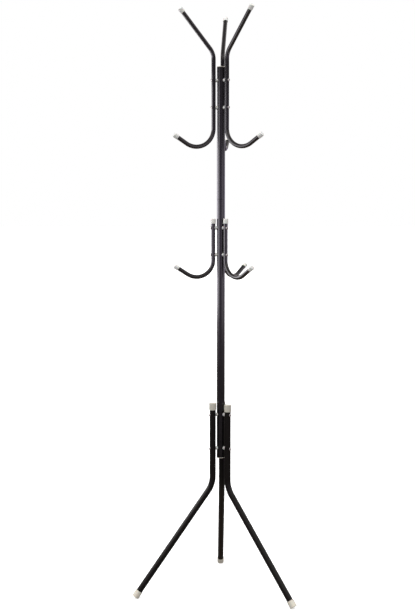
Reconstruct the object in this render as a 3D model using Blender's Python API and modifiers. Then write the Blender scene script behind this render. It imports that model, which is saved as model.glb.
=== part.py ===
"""Three-way coat stand: a three-section pole with three bent tubes bolted on in each of three tiers.

The upper tier has hat arms over coat hooks, the middle tier has coat hooks, the bottom tier is the
legs. Every tube stands off the pole on two saddle spacers and is held by two bolts, which screw into
nuts fixed inside the pole wall. Plastic cups cover all the tube ends.

Units are metres, +Z is up. Inside the stand's own empty the pole's axis is x = y = 0 and the floor
is z = 0; the empty then centres the footprint on the world's origin.
"""
import math
from dataclasses import dataclass

import bmesh
import bpy
from mathutils import Matrix, Vector

# ---- driving dimensions ------------------------------------------------------------------------
HEIGHT = 1.800                  # floor to the highest edge of the hat arms' caps
GAP = 0.0003                    # clearance between neighbouring pieces

POLE_R = 0.0125                 # 25 mm tube
POLE_WALL = 0.001
POLE_BOTTOM = 0.424             # underside of the lower plug's flange
POLE_TOP = 1.6285               # top of the upper plug's flange
SPIGOT_LENGTH = 0.045           # reduced end of one section inside the next
PLUG_FLANGE = 0.002
PLUG_LENGTH = 0.016
PLUG_WALL = 0.0015

HOOK_R = 0.0065                 # 13 mm tube
LEG_R = 0.0095                  # 19 mm tube
TUBE_WALL = 0.001
SPACER_THICKNESS = 0.005        # pole surface to tube surface
SPACER_R = 0.0055
SPACER_WRAP_POLE = 0.0020       # depth of a spacer's blank into the pole, before its saddle is cut
SPACER_WRAP_TUBE = 0.0020       # how far a saddle reaches round the tube

BOLT_R = 0.0025                 # M5
BOLT_HEAD_R = 0.0047
BOLT_HEAD_HEIGHT = 0.0028
BOLT_RIM_HEIGHT = 0.0008        # upright rim under the head's dome
BOLT_END = 0.0065               # distance of a bolt's end from the pole's axis
NUT_R = 0.004                   # rivet nut inside the pole wall
NUT_INNER = 0.0072              # distance of a nut's inner face from the pole's axis
NUT_OUTER = 0.0117              # its outer end, within the wall's thickness

HOOK_CAP_R = 0.0076
HOOK_CAP_LENGTH = 0.0150
LEG_CAP_R = 0.0110
LEG_CAP_LENGTH = 0.0218
CAP_FLOOR = 0.0022              # thickness of a cap's closed end
CAP_CHAMFER = 0.0012
FOOT_PRESS = 0.0016             # how far the foot's edge is pressed flat on the floor

HOOK_BOLT_SPACING = 0.082
LEG_BOLT_SPACING = 0.1057
UPPER_BOLT_Z = 1.5046           # lower bolt of each pair
LOWER_BOLT_Z = 1.0575
LEG_BOLT_Z = 0.4556

ARM_TILT = math.radians(39.5)   # hat arm from the vertical
ARM_CORNER_Z = 1.6677           # where the arm's line meets the tube's vertical line
ARM_BEND_R = 0.050
UPPER_J_R = 0.0557
UPPER_J_BOTTOM = 1.3856         # height of the tube's centre line at the bottom of the hook
UPPER_J_RISE = math.radians(33.2)   # slope of the hook's straight end
UPPER_J_TIP = 0.0473            # straight end, with its cap
LOWER_TOP_Z = 1.1680            # top of the middle tier's straight cap
LOWER_J_R = 0.0510
LOWER_J_BOTTOM = 0.9893
LOWER_J_RISE = math.radians(32.8)
LOWER_J_TIP = 0.0487
LEG_BEND_R = 0.078

SIDES = ("right", "back", "left")
SIDE_STEP = math.radians(120)
UPPER_AZIMUTH = math.radians(-41.5)     # of the right tube of each tier, from +X towards +Y
LOWER_AZIMUTH = math.radians(-52.7)
LEG_AZIMUTH = math.radians(-37.6)
# How far each tube's bend is turned about the tube's own vertical line, in the order of SIDES
ARM_TOE = (-4.2, 6.4, -0.8)
UPPER_J_TOE = (8.1, 3.7, 0.5)
LOWER_J_TOE = (4.8, -12.8, 0.0)
LEG_TOE = (0.6, 8.5, -6.1)
# The legs as fitted sit a few millimetres apart in height, in the order of SIDES
LEG_TOP_Z = (0.5930, 0.5955, 0.5980)        # top of the straight cap
LEG_CORNER_Z = (0.3315, 0.3374, 0.3423)     # where the splayed line meets the vertical line
LEG_TILT = (37.25, 36.75, 36.35)            # of the splayed line from the vertical, in degrees

POLE_SIDES = 24
CAP_SIDES = 12
BOLT_SIDES = 8
HOLE_SIDES = 8
SPACER_SIDES = 12
SADDLE_SIDES = 16
HOOK_BEVEL_RESOLUTION = 2       # 8 sides
LEG_BEVEL_RESOLUTION = 4        # 12 sides
BEND_STEP = math.radians(18)    # largest turn between two rings of a bent tube
SADDLE_CUT = 0.1                # half the height of the cutters that shape the saddles
SMOOTH_ANGLE = math.radians(50)     # faces that meet at less than this are shaded smooth

BLACK = ("black_enamel", (0.012, 0.011, 0.012), 0.25, 0.0)
CREAM = ("cream_plastic", (0.62, 0.58, 0.49), 0.45, 0.0)
WHITE = ("white_plastic", (0.75, 0.73, 0.68), 0.45, 0.0)
ZINC = ("zinc_plate", (0.55, 0.54, 0.52), 0.35, 1.0)


@dataclass(frozen=True)
class Run:
    """A straight length of tube."""

    length: float


@dataclass(frozen=True)
class Bend:
    """An outward turn of a tube through an angle, on a radius."""

    radius: float
    angle: float


@dataclass(frozen=True)
class Tier:
    """Three tubes round the pole, with the sizes of their fastenings."""

    name: str
    azimuth: float
    tube_r: float
    bolt_heights: tuple

    @property
    def distance(self):
        """Distance between the pole's axis and a tube's axis."""
        return POLE_R + SPACER_THICKNESS + self.tube_r

    def side_azimuth(self, index):
        """Direction of one of the three tubes from the pole's axis."""
        return self.azimuth + index * SIDE_STEP

    def bolt_places(self):
        """Each bolt's row name, side name, azimuth and height."""
        for row, height in zip(("bottom", "top"), self.bolt_heights):
            for index, side in enumerate(SIDES):
                yield row, side, self.side_azimuth(index), height


UPPER = Tier("upper", UPPER_AZIMUTH, HOOK_R, (UPPER_BOLT_Z, UPPER_BOLT_Z + HOOK_BOLT_SPACING))
LOWER = Tier("lower", LOWER_AZIMUTH, HOOK_R, (LOWER_BOLT_Z, LOWER_BOLT_Z + HOOK_BOLT_SPACING))
LEGS = Tier("leg", LEG_AZIMUTH, LEG_R, (LEG_BOLT_Z, LEG_BOLT_Z + LEG_BOLT_SPACING))
TIERS = (UPPER, LOWER, LEGS)


# ---- scene helpers -----------------------------------------------------------------------------
def clear_scene():
    """Remove the objects of the scene that the script runs in."""
    for obj in list(bpy.data.objects):
        bpy.data.objects.remove(obj)


def make_material(finish):
    """A plain Principled material from a name, a colour, a roughness and a metallic value."""
    name, colour, roughness, metallic = finish
    material = bpy.data.materials.get(name)
    if material is None:
        material = bpy.data.materials.new(name)
        material.use_nodes = True
        shader = material.node_tree.nodes["Principled BSDF"]
        shader.inputs["Base Color"].default_value = (*colour, 1.0)
        shader.inputs["Roughness"].default_value = roughness
        shader.inputs["Metallic"].default_value = metallic
    return material


class Bench:
    """The collections and the empty that every object of the stand is placed on."""

    def __init__(self):
        self.parts = bpy.data.collections.new("coat_stand")
        self.tools = bpy.data.collections.new("cutters")
        for collection in (self.parts, self.tools):
            bpy.context.scene.collection.children.link(collection)
        self.root = bpy.data.objects.new("stand_origin", None)
        self.parts.objects.link(self.root)

    def place(self, name, data, matrix, finish):
        """Add a visible part."""
        obj = bpy.data.objects.new(name, data)
        self.parts.objects.link(obj)
        obj.parent = self.root
        obj.matrix_local = matrix
        data.materials.clear()
        data.materials.append(make_material(finish))
        return obj

    def place_tool(self, name, data, matrix=None):
        """Add a cutter or another hidden helper."""
        obj = bpy.data.objects.new(name, data)
        self.tools.objects.link(obj)
        obj.parent = self.root
        obj.matrix_local = matrix or Matrix()
        obj.hide_render = True
        obj.display_type = "WIRE"
        return obj


def add_boolean(obj, tool, operation="DIFFERENCE"):
    """Cut an object with a tool, or join the tool to it."""
    modifier = obj.modifiers.new(tool.name, "BOOLEAN")
    modifier.operation = operation
    modifier.solver = "EXACT"
    modifier.object = tool


def polar(distance, azimuth, height):
    """A point at a distance from the pole's axis, in a direction, at a height."""
    return Vector((distance * math.cos(azimuth), distance * math.sin(azimuth), height))


def outward_matrix(azimuth, height, distance=0.0):
    """A frame whose +Z points away from the pole's axis."""
    turn = Matrix.Rotation(azimuth, 4, "Z") @ Matrix.Rotation(math.pi / 2, 4, "Y")
    return Matrix.Translation(polar(distance, azimuth, height)) @ turn


# ---- shapes ------------------------------------------------------------------------------------
def profile_mesh(name, profile, closed=False):
    """An outline at +X, to be turned about Z."""
    mesh = bpy.data.meshes.new(name)
    edges = [(i, i + 1) for i in range(len(profile) - 1)]
    if closed:
        edges.append((len(profile) - 1, 0))
    mesh.from_pydata([(x, 0.0, z) for x, z in profile], edges, [])
    return mesh


def add_screw(obj, sides):
    """Turn an object's profile about its Z axis."""
    screw = obj.modifiers.new("turn", "SCREW")
    screw.axis = "Z"
    screw.angle = 2 * math.pi
    screw.steps = sides
    screw.render_steps = sides
    screw.use_merge_vertices = True
    screw.merge_threshold = 0.00001
    screw.use_smooth_shade = True


def place_turned(bench, name, profile, sides, matrix, finish, closed=False):
    """Add a turned part."""
    obj = bench.place(name, profile_mesh(name, profile, closed), matrix, finish)
    add_screw(obj, sides)
    return obj


def rods_mesh(name, radius, sides, spans):
    """Separate closed rods in one mesh, each from one point to another."""
    builder = bmesh.new()
    for start, end in spans:
        along = end - start
        turn = along.to_track_quat("Z", "Y").to_matrix().to_4x4()
        matrix = Matrix.Translation((start + end) / 2) @ turn
        bmesh.ops.create_cone(builder, cap_ends=True, segments=sides, radius1=radius, radius2=radius,
                              depth=along.length, matrix=matrix)
    mesh = bpy.data.meshes.new(name)
    builder.to_mesh(mesh)
    builder.free()
    mesh.shade_smooth()
    mesh.set_sharp_from_angle(angle=SMOOTH_ANGLE)
    return mesh


def cup_profile(outer_r, inner_r, length, floor):
    """Outline of a cup that opens downward: its closed end is above z = 0 and its skirt is below."""
    skirt = floor - length
    return [(0.0, floor), (outer_r - CAP_CHAMFER, floor), (outer_r, floor - CAP_CHAMFER),
            (outer_r, skirt), (inner_r, skirt), (inner_r, GAP), (0.0, GAP)]


def bolt_profile(length):
    """Outline of a domed bolt, its head above z = 0."""
    rise = BOLT_HEAD_HEIGHT - BOLT_RIM_HEIGHT
    angles = [i * math.pi / 4 for i in range(3)]
    dome = [(BOLT_HEAD_R * math.sin(angle), BOLT_RIM_HEIGHT + rise * math.cos(angle)) for angle in angles]
    return dome + [(BOLT_HEAD_R, 0.0), (BOLT_R, 0.0), (BOLT_R, -length), (0.0, -length)]


# ---- tube routes: "out" is counted from a tube's own vertical line -----------------------------
DOWN = -math.pi / 2


def trace(start, heading, moves):
    """Follow runs and bends in a tube's plane from a point, as (out, up) points.

    A heading is an angle from "out" towards "up".
    """
    points = [Vector(start)]
    for move in moves:
        if isinstance(move, Run):
            step = Vector((math.cos(heading), math.sin(heading)))
            points.append(points[-1] + step * move.length)
            continue
        centre = points[-1] + move.radius * Vector((-math.sin(heading), math.cos(heading)))
        count = math.ceil(move.angle / BEND_STEP)
        for i in range(1, count + 1):
            angle = heading + move.angle * i / count
            points.append(centre + move.radius * Vector((math.sin(angle), -math.cos(angle))))
        heading += move.angle
    return points


def upper_route():
    """Hat arm, straight middle and coat hook, from the arm's end."""
    tip_height = HEIGHT - (HOOK_CAP_R - CAP_CHAMFER) * math.sin(ARM_TILT)
    arm = (tip_height - ARM_CORNER_Z) / math.cos(ARM_TILT) - CAP_FLOOR
    start = (arm * math.sin(ARM_TILT), ARM_CORNER_Z + arm * math.cos(ARM_TILT))
    bend_reach = ARM_BEND_R * math.tan(ARM_TILT / 2)
    straight = ARM_CORNER_Z - bend_reach - (UPPER_J_BOTTOM + UPPER_J_R)
    moves = (Run(arm - bend_reach), Bend(ARM_BEND_R, ARM_TILT), Run(straight),
             Bend(UPPER_J_R, math.pi / 2 + UPPER_J_RISE), Run(UPPER_J_TIP - CAP_FLOOR))
    return trace(start, DOWN - ARM_TILT, moves)


def lower_route():
    """Straight top and coat hook of the middle tier."""
    top = LOWER_TOP_Z - CAP_FLOOR
    moves = (Run(top - LOWER_J_BOTTOM - LOWER_J_R), Bend(LOWER_J_R, math.pi / 2 + LOWER_J_RISE),
             Run(LOWER_J_TIP - CAP_FLOOR))
    return trace((0.0, top), DOWN, moves)


def leg_route(top_z, corner_z, tilt):
    """Straight top and splayed leg, down to the tube's end inside the foot."""
    top = top_z - CAP_FLOOR
    bend_reach = LEG_BEND_R * math.tan(tilt / 2)
    foot_height = LEG_CAP_R * math.sin(tilt) - FOOT_PRESS
    leg = (corner_z - foot_height) / math.cos(tilt) - CAP_FLOOR
    moves = (Run(top - corner_z - bend_reach), Bend(LEG_BEND_R, tilt), Run(leg - bend_reach))
    return trace((0.0, top), DOWN, moves)


def bent_points(route, split_height, top_toe, bottom_toe):
    """Points of a route in space, its two ends turned about the tube's vertical line."""
    placed = []
    for out, up in route:
        toe = math.radians(top_toe if up > split_height else bottom_toe)
        placed.append(Vector((out * math.cos(toe), out * math.sin(toe), up)))
    return placed


def tube_mesh(name, points, radius, resolution):
    """The outer surface of a bent pipe with open ends, made from a bevelled curve."""
    curve = bpy.data.curves.new(name, "CURVE")
    curve.dimensions = "3D"
    curve.bevel_depth = radius
    curve.bevel_resolution = resolution
    curve.use_fill_caps = False
    spline = curve.splines.new("POLY")
    spline.points.add(len(points) - 1)
    for target, point in zip(spline.points, points):
        target.co = (*point, 1.0)
    guide = bpy.data.objects.new(name + "_route", curve)
    bpy.context.scene.collection.objects.link(guide)
    evaluated = guide.evaluated_get(bpy.context.evaluated_depsgraph_get())
    mesh = bpy.data.meshes.new_from_object(evaluated)
    mesh.name = name
    bpy.data.objects.remove(guide)
    bpy.data.curves.remove(curve)
    mesh.shade_smooth()
    mesh.set_sharp_from_angle(angle=SMOOTH_ANGLE)
    return mesh


# ---- sub-assemblies ----------------------------------------------------------------------------
class Tools:
    """The cutters that open the bolt holes and the saddles, one set for each tier."""

    def __init__(self, bench):
        self.bolt_holes = {}
        self.tube_clearance = {}
        self.nuts = {}
        for tier in TIERS:
            centre = sum(tier.bolt_heights) / 2
            outside = tier.distance + 2 * tier.tube_r
            holes = [(polar(BOLT_END, azimuth, height), polar(outside, azimuth, height))
                     for _, _, azimuth, height in tier.bolt_places()]
            self.bolt_holes[tier.name] = bench.place_tool(
                tier.name + "_bolt_holes", rods_mesh("holes", BOLT_R + GAP, HOLE_SIDES, holes))
            nuts = [(polar(NUT_INNER, azimuth, height), polar(NUT_OUTER, azimuth, height))
                    for _, _, azimuth, height in tier.bolt_places()]
            self.nuts[tier.name] = bench.place_tool(
                tier.name + "_nuts", rods_mesh("nuts", NUT_R, HOLE_SIDES, nuts))
            directions = [tier.side_azimuth(index) for index in range(len(SIDES))]
            tubes = [(polar(tier.distance, azimuth, centre - SADDLE_CUT),
                      polar(tier.distance, azimuth, centre + SADDLE_CUT)) for azimuth in directions]
            self.tube_clearance[tier.name] = bench.place_tool(
                tier.name + "_tube_clearance", rods_mesh("tubes", tier.tube_r + GAP, SADDLE_SIDES, tubes))
        pole = [(Vector((0.0, 0.0, POLE_BOTTOM)), Vector((0.0, 0.0, POLE_TOP)))]
        self.pole_clearance = bench.place_tool(
            "pole_clearance", rods_mesh("pole", POLE_R + GAP, POLE_SIDES, pole))
        floor_box = bmesh.new()
        bmesh.ops.create_cube(floor_box, size=1.0)
        floor_mesh = bpy.data.meshes.new("floor_trim")
        floor_box.to_mesh(floor_mesh)
        floor_box.free()
        self.floor = bench.place_tool("floor_trim", floor_mesh, Matrix.Translation((0, 0, -0.5)))


def section_profile(bottom, top, spigot):
    """Outline of a pole section's wall, with or without a reduced spigot on its upper end."""
    inner = POLE_R - POLE_WALL
    if not spigot:
        return [(POLE_R, top), (POLE_R, bottom), (inner, bottom), (inner, top)]
    spigot_r = inner - GAP
    spigot_inner = spigot_r - POLE_WALL
    tip = top + SPIGOT_LENGTH
    return [(spigot_r, tip), (spigot_r, top), (POLE_R, top), (POLE_R, bottom), (inner, bottom),
            (inner, top - POLE_WALL), (spigot_inner, top - POLE_WALL), (spigot_inner, tip)]


def build_pole(bench, tools):
    """Three pole sections that slip into each other, with an end plug in each open end."""
    bottom = POLE_BOTTOM + PLUG_FLANGE + GAP
    top = POLE_TOP - PLUG_FLANGE - GAP
    length = (top - bottom) / 3
    sections = (("lower_pole", LEGS), ("middle_pole", LOWER), ("upper_pole", UPPER))
    for index, (name, tier) in enumerate(sections):
        start = bottom + index * length + (GAP if index else 0.0)
        end = bottom + (index + 1) * length
        profile = section_profile(start, end, spigot=index < 2)
        pole = place_turned(bench, name, profile, POLE_SIDES, Matrix(), BLACK, closed=True)
        add_boolean(pole, tools.nuts[tier.name], "UNION")
        add_boolean(pole, tools.bolt_holes[tier.name])

    stem_r = POLE_R - POLE_WALL - GAP
    stem_inner = stem_r - PLUG_WALL
    profile = [(0.0, PLUG_FLANGE), (POLE_R, PLUG_FLANGE), (POLE_R, 0.0), (stem_r, 0.0),
               (stem_r, -PLUG_LENGTH), (stem_inner, -PLUG_LENGTH), (stem_inner, 0.0), (0.0, 0.0)]
    flip = Matrix.Rotation(math.pi, 4, "X")
    place_turned(bench, "pole_top_plug", profile, POLE_SIDES,
                 Matrix.Translation((0.0, 0.0, POLE_TOP - PLUG_FLANGE)), CREAM)
    place_turned(bench, "pole_bottom_plug", profile, POLE_SIDES,
                 Matrix.Translation((0.0, 0.0, POLE_BOTTOM + PLUG_FLANGE)) @ flip, CREAM)


def end_matrix(points, end):
    """A frame on a tube's first or last point, its +Z pointing out of the tube."""
    tip, inner = (points[0], points[1]) if end == "first" else (points[-1], points[-2])
    outward = tip - inner
    return Matrix.Translation(tip) @ outward.to_track_quat("Z", "Y").to_matrix().to_4x4()


def build_tubes(bench, tools, tier, tube_name, routes, toes, caps):
    """The three bent tubes of a tier with the caps on their ends, each tube from its own route."""
    middle = sum(tier.bolt_heights) / 2
    leg = tier is LEGS
    resolution = LEG_BEVEL_RESOLUTION if leg else HOOK_BEVEL_RESOLUTION
    cap_r, cap_length = (LEG_CAP_R, LEG_CAP_LENGTH) if leg else (HOOK_CAP_R, HOOK_CAP_LENGTH)
    inner_r = (tier.tube_r + GAP) / math.cos(math.pi / CAP_SIDES)
    profile = cup_profile(cap_r, inner_r, cap_length, CAP_FLOOR)
    for index, side in enumerate(SIDES):
        points = bent_points(routes[index], middle, toes[0][index], toes[1][index])
        azimuth = tier.side_azimuth(index)
        frame = Matrix.Translation(polar(tier.distance, azimuth, 0.0)) @ Matrix.Rotation(azimuth, 4, "Z")
        mesh = tube_mesh(f"{tube_name}_{side}", points, tier.tube_r, resolution)
        tube = bench.place(f"{tube_name}_{side}", mesh, frame, BLACK)
        wall = tube.modifiers.new("wall", "SOLIDIFY")
        wall.thickness = TUBE_WALL
        wall.offset = -1.0
        add_boolean(tube, tools.bolt_holes[tier.name])
        for end, cap_name in zip(("first", "last"), caps):
            cap = place_turned(bench, f"{cap_name}_{side}", profile, CAP_SIDES,
                               frame @ end_matrix(points, end), CREAM)
            if leg and end == "last":
                add_boolean(cap, tools.floor)


def build_fastenings(bench, tools, tier, separate):
    """Spacer and bolt at each bolt hole of a tier, as two nodes or joined as one."""
    head_seat = tier.distance + tier.tube_r + GAP
    spacer_start = POLE_R - SPACER_WRAP_POLE
    spacer_end = tier.distance - tier.tube_r + SPACER_WRAP_TUBE
    span = [(Vector((0.0, 0.0, spacer_start)), Vector((0.0, 0.0, spacer_end)))]
    for row, side, azimuth, height in tier.bolt_places():
        place = f"{row}_{side}"
        name = f"{tier.name}_spacer_{place}" if separate else f"{tier.name}_fixing_{place}"
        blank = rods_mesh(name, SPACER_R, SPACER_SIDES, span)
        spacer = bench.place(name, blank, outward_matrix(azimuth, height), WHITE)
        add_boolean(spacer, tools.pole_clearance)
        add_boolean(spacer, tools.tube_clearance[tier.name])
        bolt_matrix = outward_matrix(azimuth, height, head_seat)
        profile = bolt_profile(head_seat - BOLT_END)
        if separate:
            add_boolean(spacer, tools.bolt_holes[tier.name])
            place_turned(bench, f"{tier.name}_bolt_{place}", profile, BOLT_SIDES, bolt_matrix, ZINC)
        else:
            bolt = bench.place_tool(name + "_bolt", profile_mesh(name + "_bolt", profile), bolt_matrix)
            add_screw(bolt, BOLT_SIDES)
            add_boolean(spacer, bolt, "UNION")


def centre_on_origin(bench):
    """Move the stand so that the middle of its footprint is over the world's origin."""
    graph = bpy.context.evaluated_depsgraph_get()
    corners = []
    for obj in bench.parts.objects:
        if obj.type == "MESH":
            evaluated = obj.evaluated_get(graph)
            corners += [evaluated.matrix_world @ vertex.co for vertex in evaluated.data.vertices]
    for axis in range(2):
        values = [corner[axis] for corner in corners]
        bench.root.location[axis] = -(min(values) + max(values)) / 2


def main():
    """Build the whole stand."""
    clear_scene()
    bench = Bench()
    tools = Tools(bench)
    build_pole(bench, tools)
    no_toe = (0.0, 0.0, 0.0)
    leg_routes = [leg_route(top, corner, math.radians(tilt))
                  for top, corner, tilt in zip(LEG_TOP_Z, LEG_CORNER_Z, LEG_TILT)]
    build_tubes(bench, tools, UPPER, "upper_hook", 3 * [upper_route()], (ARM_TOE, UPPER_J_TOE),
                ("hat_arm_cap", "upper_hook_cap"))
    build_tubes(bench, tools, LOWER, "lower_hook", 3 * [lower_route()], (no_toe, LOWER_J_TOE),
                ("lower_hook_top_cap", "lower_hook_cap"))
    build_tubes(bench, tools, LEGS, "leg", leg_routes, (no_toe, LEG_TOE), ("leg_top_cap", "foot_cap"))
    build_fastenings(bench, tools, UPPER, separate=False)
    build_fastenings(bench, tools, LOWER, separate=False)
    build_fastenings(bench, tools, LEGS, separate=True)
    centre_on_origin(bench)


if __name__ == "__main__":
    main()
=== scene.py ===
"""Looks of a three-way coat stand: black enamelled tubes, cream end caps, saddle spacers and bolts.

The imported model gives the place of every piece. The classes below build each sub-assembly's fine
surfaces in the same frame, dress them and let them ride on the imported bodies. Units are metres.
"""
from __future__ import annotations

import logging
import math
from dataclasses import dataclass, field
from enum import Enum
from typing import Iterable, Sequence

import bmesh
import bpy
from mathutils import Matrix, Vector

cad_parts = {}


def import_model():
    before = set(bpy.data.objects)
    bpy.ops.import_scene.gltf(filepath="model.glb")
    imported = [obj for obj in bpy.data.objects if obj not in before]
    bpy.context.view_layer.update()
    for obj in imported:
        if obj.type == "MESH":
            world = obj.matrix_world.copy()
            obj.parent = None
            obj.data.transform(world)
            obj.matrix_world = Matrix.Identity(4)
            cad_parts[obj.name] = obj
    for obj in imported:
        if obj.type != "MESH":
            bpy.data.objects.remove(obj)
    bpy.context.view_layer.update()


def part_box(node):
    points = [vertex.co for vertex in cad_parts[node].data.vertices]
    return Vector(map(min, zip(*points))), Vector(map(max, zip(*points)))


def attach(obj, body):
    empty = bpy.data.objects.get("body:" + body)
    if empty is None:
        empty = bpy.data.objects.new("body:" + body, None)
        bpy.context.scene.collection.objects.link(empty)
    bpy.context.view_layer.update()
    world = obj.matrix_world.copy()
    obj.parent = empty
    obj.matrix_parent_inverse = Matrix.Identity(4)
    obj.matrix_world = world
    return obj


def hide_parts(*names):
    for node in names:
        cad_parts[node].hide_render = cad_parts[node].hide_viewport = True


LOG = logging.getLogger("coat_stand")
GAP = 0.0003                    # clearance between neighbouring pieces
SHARP_DEGREES = 40.0            # edges past this angle stay sharp in the shading
MIDTONES = (0.35, 0.65)         # two spans of a noise pattern's value that are stretched
BROAD = (0.3, 0.7)
UNIT = (0.0, 1.0)
WHITE = (1.0, 1.0, 1.0, 1.0)
HEXAGON = 6
SAME_PLACE = 1e-6               # points closer than this are one point
SLIVER = 1e-5                   # edges shorter than this come from a cut and go
Point2 = tuple[float, float]
Triple = tuple[float, float, float]
Colour = tuple[float, float, float, float]
Socket = bpy.types.NodeSocket
Mesh = bpy.types.Mesh
Item = bpy.types.Object
Material = bpy.types.Material


class Body(Enum):
    """The three bodies that the slip joints of the pole separate."""

    BASE = "base"
    MIDDLE = "middle"
    TOP = "top"


class Side(Enum):
    """The three directions round the pole, in the order of their angles."""

    RIGHT = "right"
    BACK = "back"
    LEFT = "left"


class Row(Enum):
    """The two bolts of each tube."""

    BOTTOM = "bottom"
    TOP = "top"


class Slot(Enum):
    """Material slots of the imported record."""

    TUBE = "black_tube"
    CAP = "cap_plastic"
    SPACER = "spacer_plastic"
    BOLT = "bolt_steel"


# ---- node trees ----
class NodeBoard:
    """Adds and joins the nodes of one tree with short calls."""

    def __init__(self, tree: bpy.types.NodeTree) -> None:
        """Keep the tree that the nodes go into."""
        self.tree = tree

    def add(self, kind: str, inputs: dict[str | int, object] | None = None,
            **settings: object) -> bpy.types.Node:
        """Add a node.

        Args:
            kind: The node's type.
            inputs: For each input, a value or the output socket that feeds it.
            settings: The node's own options.

        Returns:
            The node.
        """
        node = self.tree.nodes.new(kind)
        for key, value in settings.items():
            setattr(node, key, value)
        for key, value in (inputs or {}).items():
            if isinstance(value, Socket):
                self.tree.links.new(value, node.inputs[key])
            else:
                node.inputs[key].default_value = value
        return node


def new_geometry_tree(
        name: str, sockets: Iterable[tuple[str, str]]) -> tuple[NodeBoard, bpy.types.Node]:
    """Start a geometry tree with named inputs.

    Args:
        name: The tree's name.
        sockets: Name and socket type of each input after the geometry.

    Returns:
        The board to add nodes on, and the group's input node.
    """
    tree = bpy.data.node_groups.new(name, "GeometryNodeTree")
    tree.interface.new_socket("Geometry", in_out="INPUT", socket_type="NodeSocketGeometry")
    tree.interface.new_socket("Geometry", in_out="OUTPUT", socket_type="NodeSocketGeometry")
    for socket_name, socket_type in sockets:
        tree.interface.new_socket(socket_name, in_out="INPUT", socket_type=socket_type)
    board = NodeBoard(tree)
    return board, board.add("NodeGroupInput")


def set_inputs(modifier: bpy.types.Modifier, values: dict[str, object]) -> None:
    """Set a geometry modifier's inputs by the names that its tree gives them.

    Args:
        modifier: The modifier.
        values: The values, by the inputs' names.
    """
    for item in modifier.node_group.interface.items_tree:
        if item.in_out == "INPUT" and item.name in values:
            modifier[item.identifier] = values[item.name]


def tube_tree() -> bpy.types.NodeTree:
    """Tree that rounds the corners of a chain of points and sweeps a circle along it.

    Returns:
        The tree.
    """
    board, given = new_geometry_tree("bent_tube", (
        ("Tube radius", "NodeSocketFloat"), ("Sides", "NodeSocketInt"),
        ("Rings per bend", "NodeSocketInt"), ("Material", "NodeSocketMaterial")))
    bend_radius = board.add(
        "GeometryNodeInputNamedAttribute", {"Name": "bend_radius"}, data_type="FLOAT")
    chain = board.add("GeometryNodeMeshToCurve", {"Mesh": given.outputs["Geometry"]})
    route = board.add("GeometryNodeFilletCurve", {
        "Curve": chain.outputs["Curve"], "Count": given.outputs["Rings per bend"],
        "Radius": bend_radius.outputs["Attribute"]}, mode="POLY")
    ring = board.add("GeometryNodeCurvePrimitiveCircle", {
        "Resolution": given.outputs["Sides"],
        "Radius": given.outputs["Tube radius"]}, mode="RADIUS")
    swept = board.add("GeometryNodeCurveToMesh", {
        "Curve": route.outputs["Curve"], "Profile Curve": ring.outputs["Curve"]})
    smooth = board.add("GeometryNodeSetShadeSmooth", {"Geometry": swept.outputs["Mesh"]})
    dressed = board.add("GeometryNodeSetMaterial", {
        "Geometry": smooth.outputs["Geometry"], "Material": given.outputs["Material"]})
    board.add("NodeGroupOutput", {"Geometry": dressed.outputs["Geometry"]})
    return board.tree


def repeat_tree() -> bpy.types.NodeTree:
    """Tree that puts a copy of a shape on each point, turned by the point's own attribute.

    Returns:
        The tree.
    """
    board, given = new_geometry_tree("repeated_fastening", (
        ("Shape", "NodeSocketObject"), ("Free turn", "NodeSocketFloat"), ("Seed", "NodeSocketInt"),
        ("Material", "NodeSocketMaterial")))
    facing = board.add(
        "GeometryNodeInputNamedAttribute", {"Name": "facing"}, data_type="FLOAT_VECTOR")
    facing_turn = board.add("FunctionNodeEulerToRotation", {0: facing.outputs["Attribute"]})
    free = board.add("FunctionNodeRandomValue", {"Seed": given.outputs["Seed"]}, data_type="FLOAT")
    angle = board.add("ShaderNodeMath", {
        0: free.outputs[1], 1: given.outputs["Free turn"]}, operation="MULTIPLY")
    about_axis = board.add("ShaderNodeCombineXYZ", {"Z": angle.outputs["Value"]})
    spin = board.add("FunctionNodeEulerToRotation", {0: about_axis.outputs["Vector"]})
    turn = board.add("FunctionNodeRotateRotation", {
        "Rotation": facing_turn.outputs[0], "Rotate By": spin.outputs[0]}, rotation_space="LOCAL")
    shape = board.add(
        "GeometryNodeObjectInfo", {"Object": given.outputs["Shape"]}, transform_space="ORIGINAL")
    copies = board.add("GeometryNodeInstanceOnPoints", {
        "Points": given.outputs["Geometry"], "Instance": shape.outputs["Geometry"],
        "Rotation": turn.outputs[0]})
    real = board.add("GeometryNodeRealizeInstances", {"Geometry": copies.outputs["Instances"]})
    dressed = board.add("GeometryNodeSetMaterial", {
        "Geometry": real.outputs["Geometry"], "Material": given.outputs["Material"]})
    board.add("NodeGroupOutput", {"Geometry": dressed.outputs["Geometry"]})
    return board.tree


# ---- finishes ----
def noise(board: NodeBoard, place: Socket, scale: float, detail: float = 3.0) -> Socket:
    """A noise pattern's value; scale is in cycles for each metre."""
    return board.add("ShaderNodeTexNoise", {
        "Vector": place, "Scale": scale, "Detail": detail}).outputs["Fac"]


def ramp(board: NodeBoard, value: Socket, span: Point2, result: Point2) -> Socket:
    """Map a value's span to another, clamped."""
    return board.add("ShaderNodeMapRange", {
        "Value": value, "From Min": span[0], "From Max": span[1], "To Min": result[0],
        "To Max": result[1]}).outputs["Result"]


def join(board: NodeBoard, first: Socket, second: Socket, operation: str) -> Socket:
    """Join two values with an arithmetic operation."""
    return board.add("ShaderNodeMath", {0: first, 1: second}, operation=operation).outputs[0]


def blend_colour(board: NodeBoard, factor: Socket, first: object, second: object) -> Socket:
    """Mix two colours, each a value or a socket."""
    return board.add("ShaderNodeMix", {0: factor, 6: first, 7: second}, data_type="RGBA").outputs[2]


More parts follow.
